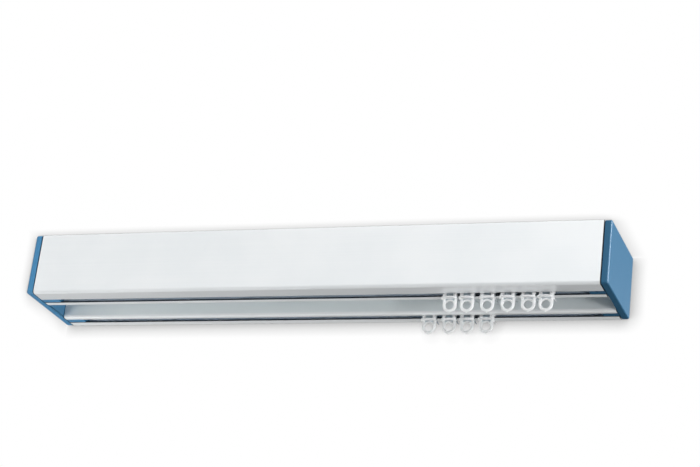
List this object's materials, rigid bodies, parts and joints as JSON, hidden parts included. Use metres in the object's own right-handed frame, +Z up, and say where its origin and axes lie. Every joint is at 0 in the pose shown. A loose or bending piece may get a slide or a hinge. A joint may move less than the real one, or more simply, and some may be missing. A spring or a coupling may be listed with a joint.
{
  "type": "curtain track",
  "caption": "Ceiling curtain track with a tall white fascia, gliders with hook rings in two slots underneath, and a blue cap on each end.",
  "frame": {"origin": "middle of the roof's upper face, which lies on the ceiling", "axes": "+X along the track to the right as seen from the room, +Y away from the fascia towards the window, +Z up"},
  "size_m": [0.4738, 0.074, 0.0643],
  "materials": {
    "white_lacquer": "smooth satin white lacquer on extruded aluminium",
    "blue_plastic": "moulded blue plastic, softly glossy",
    "white_plastic": "moulded translucent white plastic, smooth"
  },
  "bodies": {
    "track": {"track_profile": "white_lacquer", "end_cap_left": "blue_plastic", "end_cap_right": "blue_plastic"},
    "front_glider_6": {"front_glider_6": "white_plastic"},
    "front_glider_5": {"front_glider_5": "white_plastic"},
    "front_glider_4": {"front_glider_4": "white_plastic"},
    "front_glider_3": {"front_glider_3": "white_plastic"},
    "front_glider_2": {"front_glider_2": "white_plastic"},
    "front_glider_1": {"front_glider_1": "white_plastic"},
    "rear_glider_4": {"rear_glider_4": "white_plastic"},
    "rear_glider_3": {"rear_glider_3": "white_plastic"},
    "rear_glider_2": {"rear_glider_2": "white_plastic"},
    "rear_glider_1": {"rear_glider_1": "white_plastic"}
  },
  "joints": [
    {"name": "front_glider_6_slide", "type": "slide", "parent": "track", "child": "front_glider_6", "axis": [1, 0, 0], "range_m": [-0.05383, 0.0231]},
    {"name": "front_glider_5_slide", "type": "slide", "parent": "front_glider_6", "child": "front_glider_5", "axis": [1, 0, 0], "range_m": [-0.05383, 0.0002]},
    {"name": "front_glider_4_slide", "type": "slide", "parent": "front_glider_5", "child": "front_glider_4", "axis": [1, 0, 0], "range_m": [-0.05383, 0.0025]},
    {"name": "front_glider_3_slide", "type": "slide", "parent": "front_glider_4", "child": "front_glider_3", "axis": [1, 0, 0], "range_m": [-0.05383, 0.0025]},
    {"name": "front_glider_2_slide", "type": "slide", "parent": "front_glider_3", "child": "front_glider_2", "axis": [1, 0, 0], "range_m": [-0.05383, 0.0025]},
    {"name": "front_glider_1_slide", "type": "slide", "parent": "front_glider_2", "child": "front_glider_1", "axis": [1, 0, 0], "range_m": [-0.05383, 0.0002]},
    {"name": "rear_glider_4_slide", "type": "slide", "parent": "track", "child": "rear_glider_4", "axis": [1, 0, 0], "range_m": [-0.07322, 0.0813]},
    {"name": "rear_glider_3_slide", "type": "slide", "parent": "rear_glider_4", "child": "rear_glider_3", "axis": [1, 0, 0], "range_m": [-0.07322, 0.0022]},
    {"name": "rear_glider_2_slide", "type": "slide", "parent": "rear_glider_3", "child": "rear_glider_2", "axis": [1, 0, 0], "range_m": [-0.07322, 0.0012]},
    {"name": "rear_glider_1_slide", "type": "slide", "parent": "rear_glider_2", "child": "rear_glider_1", "axis": [1, 0, 0], "range_m": [-0.07322, 0.0028]}
  ]
}
